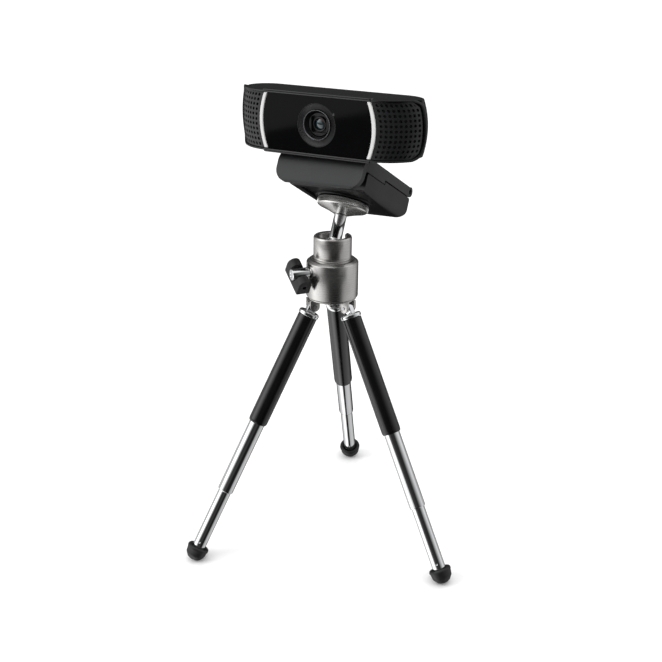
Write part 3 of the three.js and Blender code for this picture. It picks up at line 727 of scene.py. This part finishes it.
ridges = [(9.2 - 0.42 * i + d, 0.75 + 0.16 * i + h)
          for i in range(6) for d, h in ((0.0, 0.0), (-0.21, 0.2))]
lens_ring = spun([(9.6, 6), (9.6, 0.75), *ridges, (6.72, 1.25), (6.6, 0.95), (6.4, 0.9), (6.15, 1.15),
                  (5.9, 2.3), (5.5, 2.9), (5.5, 6)], 120, TURN_Y)
piece("ridged_lens_ring", lens_ring, HEAD, "webcam", lens_black, ["lens_ring"], angle=22)
# the lens ring's thin inner bevel, a real edge, finished in brighter metal as a painted highlight
painted_highlight_ring = spun([(6.8, 1.35), (6.8, 1.0), (6.66, 0.8), (6.4, 0.8), (6.2, 1.05), (6.2, 1.35)], 120,
                   TURN_Y)
piece("lens_bright_edge", painted_highlight_ring, HEAD, "webcam", lens_edge_painted_highlight, ["lens_ring"], angle=22)
lens_tube = carved(spun([(0, 2.9), (5.1, 2.9), (5.1, 13.2), (0, 13.2)], 64, TURN_Y),
                   slab(rounded(3.75, 3.75, 1.3), -4.6, 5, UP_Y))
lens_lip = spun([(3.3, 4.6), (3.3, 3.6), (3.1, 3.45), (2.75, 3.5), (2.5, 3.8), (2.5, 4.6)], 64, TURN_Y)
piece("lens_tube", merged(lens_tube, lens_lip), HEAD, "webcam", lens_black, ["lens_barrel"],
      ease=0.12)
glass = spun([(0, 3.75), (0.8, 3.78), (1.5, 3.9), (2.1, 4.1), (2.48, 4.35), (2.48, 4.55), (0, 4.55)], 48,
             TURN_Y)
lens_middle = HEAD @ Vector((0, 4, 0))
# the front glass gets painted teal and amber coating reflections, leaning towards this direction
lens_glass_with_painted_glints = lens_glass_painted_glints_finish(lens_middle, (HEAD.to_3x3() @ Vector((0.6, 0, 0.8))).normalized())
piece("lens_front_glass", glass, HEAD, "webcam", lens_glass_with_painted_glints, ["lens_glass"], angle=60)
grommet = spun([(0, 22), (3.0, 22), (3.0, 27.0), (3.2, 27.2), (3.1, 27.6), (2.7, 28.3), (2.3, 28.6),
                (1.7, 28.6), (1.5, 28.4), (1.5, 24), (0, 24)], 40, Matrix.Translation((0, 0, CORD_Z)) @ TURN_Y)
piece("grommet", grommet, HEAD, "webcam", rubber, ["cable_grommet"], angle=35)
for side, sign in (("left", -1), ("right", 1)):
    screw = spun([(0, 26.4), (1.7, 26.4), (1.7, 26.9), (1.5, 27.1), (0, 27.15)], 36, TURN_Y)
    bars = [slab(rounded(a, b, 0.15, 2), -28, -26.75, UP_Y) for a, b in ((0.95, 0.2), (0.2, 0.95))]
    piece(f"cross_screw_{side}", carved(screw, *bars), HEAD @ Matrix.Translation((sign * SCREW_X, 0, 0)),
          "webcam", steel, [f"case_screw_{side}"], angle=30)


# ---- solids that keep their shape get their finish -----------------------------------------
KEPT = {
    steel: ["camera_stud", "clip_pin", "tilt_pin", "microphone_left", "microphone_right",
            *[f"pivot_pin_{side}" for side in LEGS]],
    nylon: ["ball_seat"], brass: ["thread_insert"], rubber: ["foot_pad", "flap_pad"],
    sensor_face: ["image_sensor"], circuit_board: ["sensor_board", "main_board"],
}
for material, names in KEPT.items():
    for name in names:
        slots = frame["nodes"][name].data.materials
        slots.clear()
        slots.append(material)

# ---- floor, light and camera ---------------------------------------------------------------
scene = bpy.context.scene
floor_mesh = bpy.data.meshes.new("floor")
bm = bmesh.new()
bmesh.ops.create_grid(bm, x_segments=1, y_segments=1, size=6)
bm.to_mesh(floor_mesh)
bm.free()
floor = bpy.data.objects.new("floor", floor_mesh)
scene.collection.objects.link(floor)
floor.location.z = -0.0001
floor_mesh.materials.append(Nodes("pale_floor").set(Base_Color=(0.96, 0.96, 0.96, 1), Roughness=0.9,
                                                    Specular_IOR_Level=0.0))
floor.visible_glossy = floor.visible_diffuse = False       # it takes shadows, and throws no light back


# brightness round the compass, degrees anticlockwise from +X, as seen in reflections at three heights
LOW_BANDS = [(-180, 0.7), (-164, 1.0), (-146, 1.8), (-124, 1.4), (-107, 0.95), (-92, 0.5), (-80, 0.1),
             (-70, 0.015), (-32, 0.01), (-22, 0.05), (-14, 0.36), (0, 0.5), (34, 0.6), (56, 0.6), (74, 0.2),
             (90, 0.02), (134, 0.02), (150, 0.3), (166, 0.6)]
MID_BANDS = [(-180, 0.5), (-150, 0.5), (-136, 0.3), (-126, 0.2), (-106, 0.2), (-96, 0.1), (-80, 0.05),
             (-40, 0.03), (-20, 0.03), (-2, 0.06), (5, 0.6),
             (24, 0.7), (60, 0.35), (90, 0.04), (150, 0.04), (165, 0.4)]
HIGH_BANDS = [(-180, 0.5), (-166, 1.4), (-150, 2.2), (-130, 1.8), (-114, 0.8), (-97, 0.08), (-90, 0.03),
              (-36, 0.02), (-18, 0.2), (4, 0.5), (34, 0.8), (66, 0.9), (88, 0.1), (150, 0.04), (168, 0.3)]
# below this line, height against compass, the left front card is dark: (degrees, height) of two points
CARD_EDGE = ((-121.3, -0.1126), (-116.9, -0.0894))
BACKDROP = 1.0
ABOVE, LEVEL, BELOW = 1.25, 0.32, 0.3              # the soft light from overhead, all round and underneath


def studio_world():
    """Plain white to look at; broad light and dark cards in reflections."""
    world = bpy.data.worlds.new("studio")
    scene.world = world
    world.use_nodes = True
    tree = world.node_tree
    tree.nodes.clear()

    def add(kind, settings=(), feeds=()):
        node = tree.nodes.new(kind)
        for key, value in settings:
            setattr(node, key, value)
        for key, value in feeds:
            if isinstance(value, bpy.types.NodeSocket):
                tree.links.new(value, node.inputs[key])
            else:
                node.inputs[key].default_value = value
        return node

    def bands(share, stops):
        node = add("ShaderNodeValToRGB", feeds=[("Fac", share)])
        elements = node.color_ramp.elements
        while len(elements) < len(stops) + 1:
            elements.new(0.5)
        for element, (degrees, level) in zip(elements, [*stops, (180, stops[0][1])]):
            element.position, element.color = (degrees + 180) / 360, (level, level, level, 1)
        return node.outputs["Color"]

    def stepped(value, low, high, top=1.0):
        return add("ShaderNodeMapRange", feeds=[("Value", value), ("From Min", low), ("From Max", high),
                                                ("To Max", top)]).outputs["Result"]

    def blend(share, a, b):
        return add("ShaderNodeMix", [("data_type", "RGBA")],
                   [("Factor", share), ("A", a), ("B", b)]).outputs["Result"]

    ray = add("ShaderNodeTexCoord").outputs["Generated"]
    split = add("ShaderNodeSeparateXYZ", feeds=[(0, ray)]).outputs
    turn = add("ShaderNodeMath", [("operation", "ARCTAN2")], [(0, split["Y"]), (1, split["X"])]).outputs[0]
    share = stepped(turn, -math.pi, math.pi)
    height = split["Z"]
    (az0, h0), (az1, h1) = CARD_EDGE
    slope = (h1 - h0) / math.radians(az1 - az0)
    line = add("ShaderNodeMath", [("operation", "MULTIPLY_ADD")],
               [(0, turn), (1, -slope), (2, height)]).outputs[0]
    start = h0 - slope * math.radians(az0)
    card = stepped(line, start - 0.0012, start + 0.0012)
    dark_card = blend(card, (0.035, 0.035, 0.036, 1), bands(share, MID_BANDS))
    in_card = add("ShaderNodeMath", [("operation", "MULTIPLY")],
                  [(0, stepped(turn, math.radians(-136), math.radians(-130))),
                   (1, stepped(turn, math.radians(-100), math.radians(-106)))]).outputs[0]
    middle = blend(in_card, bands(share, MID_BANDS), dark_card)
    low = blend(stepped(height, -0.165, -0.14), bands(share, LOW_BANDS), middle)
    whole = blend(stepped(height, -0.02, 0.12), low, bands(share, HIGH_BANDS))
    whole = blend(stepped(height, 0.75, 0.9), whole, (0.9, 0.9, 0.9, 1))
    rays = add("ShaderNodeLightPath").outputs
    soft = blend(stepped(height, -0.1, 0.1), (BELOW, BELOW, BELOW, 1), (LEVEL, LEVEL, LEVEL, 1))
    soft = blend(stepped(height, 0.15, 0.7), soft, (ABOVE, ABOVE, ABOVE, 1))
    plain = blend(rays["Is Camera Ray"], soft, (BACKDROP, BACKDROP, BACKDROP, 1))
    shine = add("ShaderNodeBackground", feeds=[("Color", blend(rays["Is Glossy Ray"], plain, whole))])
    add("ShaderNodeOutputWorld", feeds=[("Surface", shine.outputs[0])])


studio_world()


def softbox(name, at, towards, wide, high, power):
    light = bpy.data.lights.new(name, "AREA")
    light.shape, light.size, light.size_y, light.energy = "RECTANGLE", wide, high, power
    obj = bpy.data.objects.new(name, light)
    scene.collection.objects.link(obj)
    obj.location = at
    obj.rotation_mode = "QUATERNION"
    obj.rotation_quaternion = (Vector(towards) - Vector(at)).to_track_quat("-Z", "Y")
    obj.visible_glossy = False


softbox("key_softbox", (-0.75, -0.7, 0.75), (0, 0, 0.12), 0.6, 0.8, 5.0)
softbox("side_softbox", (0.8, 0.1, 0.45), (0, 0, 0.12), 0.3, 0.7, 0.4)
softbox("top_softbox", (0.0, 0.15, 1.0), (0, 0, 0.1), 0.8, 0.6, 1.0)

CAMERA_AT = Vector((0.26220, -0.47203, 0.38418))
CAMERA_AZIMUTH, CAMERA_ELEVATION, CAMERA_ROLL, CAMERA_LENS = 29.74, 27.11, -0.629, 72.07
camera = bpy.data.objects.new("camera", bpy.data.cameras.new("camera"))
scene.collection.objects.link(camera)
scene.camera = camera
camera.data.lens, camera.data.sensor_width = CAMERA_LENS, 36
camera.data.clip_start, camera.data.clip_end = 0.01, 50
a, e = math.radians(CAMERA_AZIMUTH), math.radians(CAMERA_ELEVATION)
look = -Vector((math.sin(a) * math.cos(e), -math.cos(a) * math.cos(e), math.sin(e)))
camera.location = CAMERA_AT
camera.rotation_mode = "QUATERNION"
camera.rotation_quaternion = (Matrix.Rotation(-math.radians(CAMERA_ROLL), 3, look)
                              @ look.to_track_quat("-Z", "Y").to_matrix()).to_quaternion()
scene.view_settings.view_transform = "Standard"
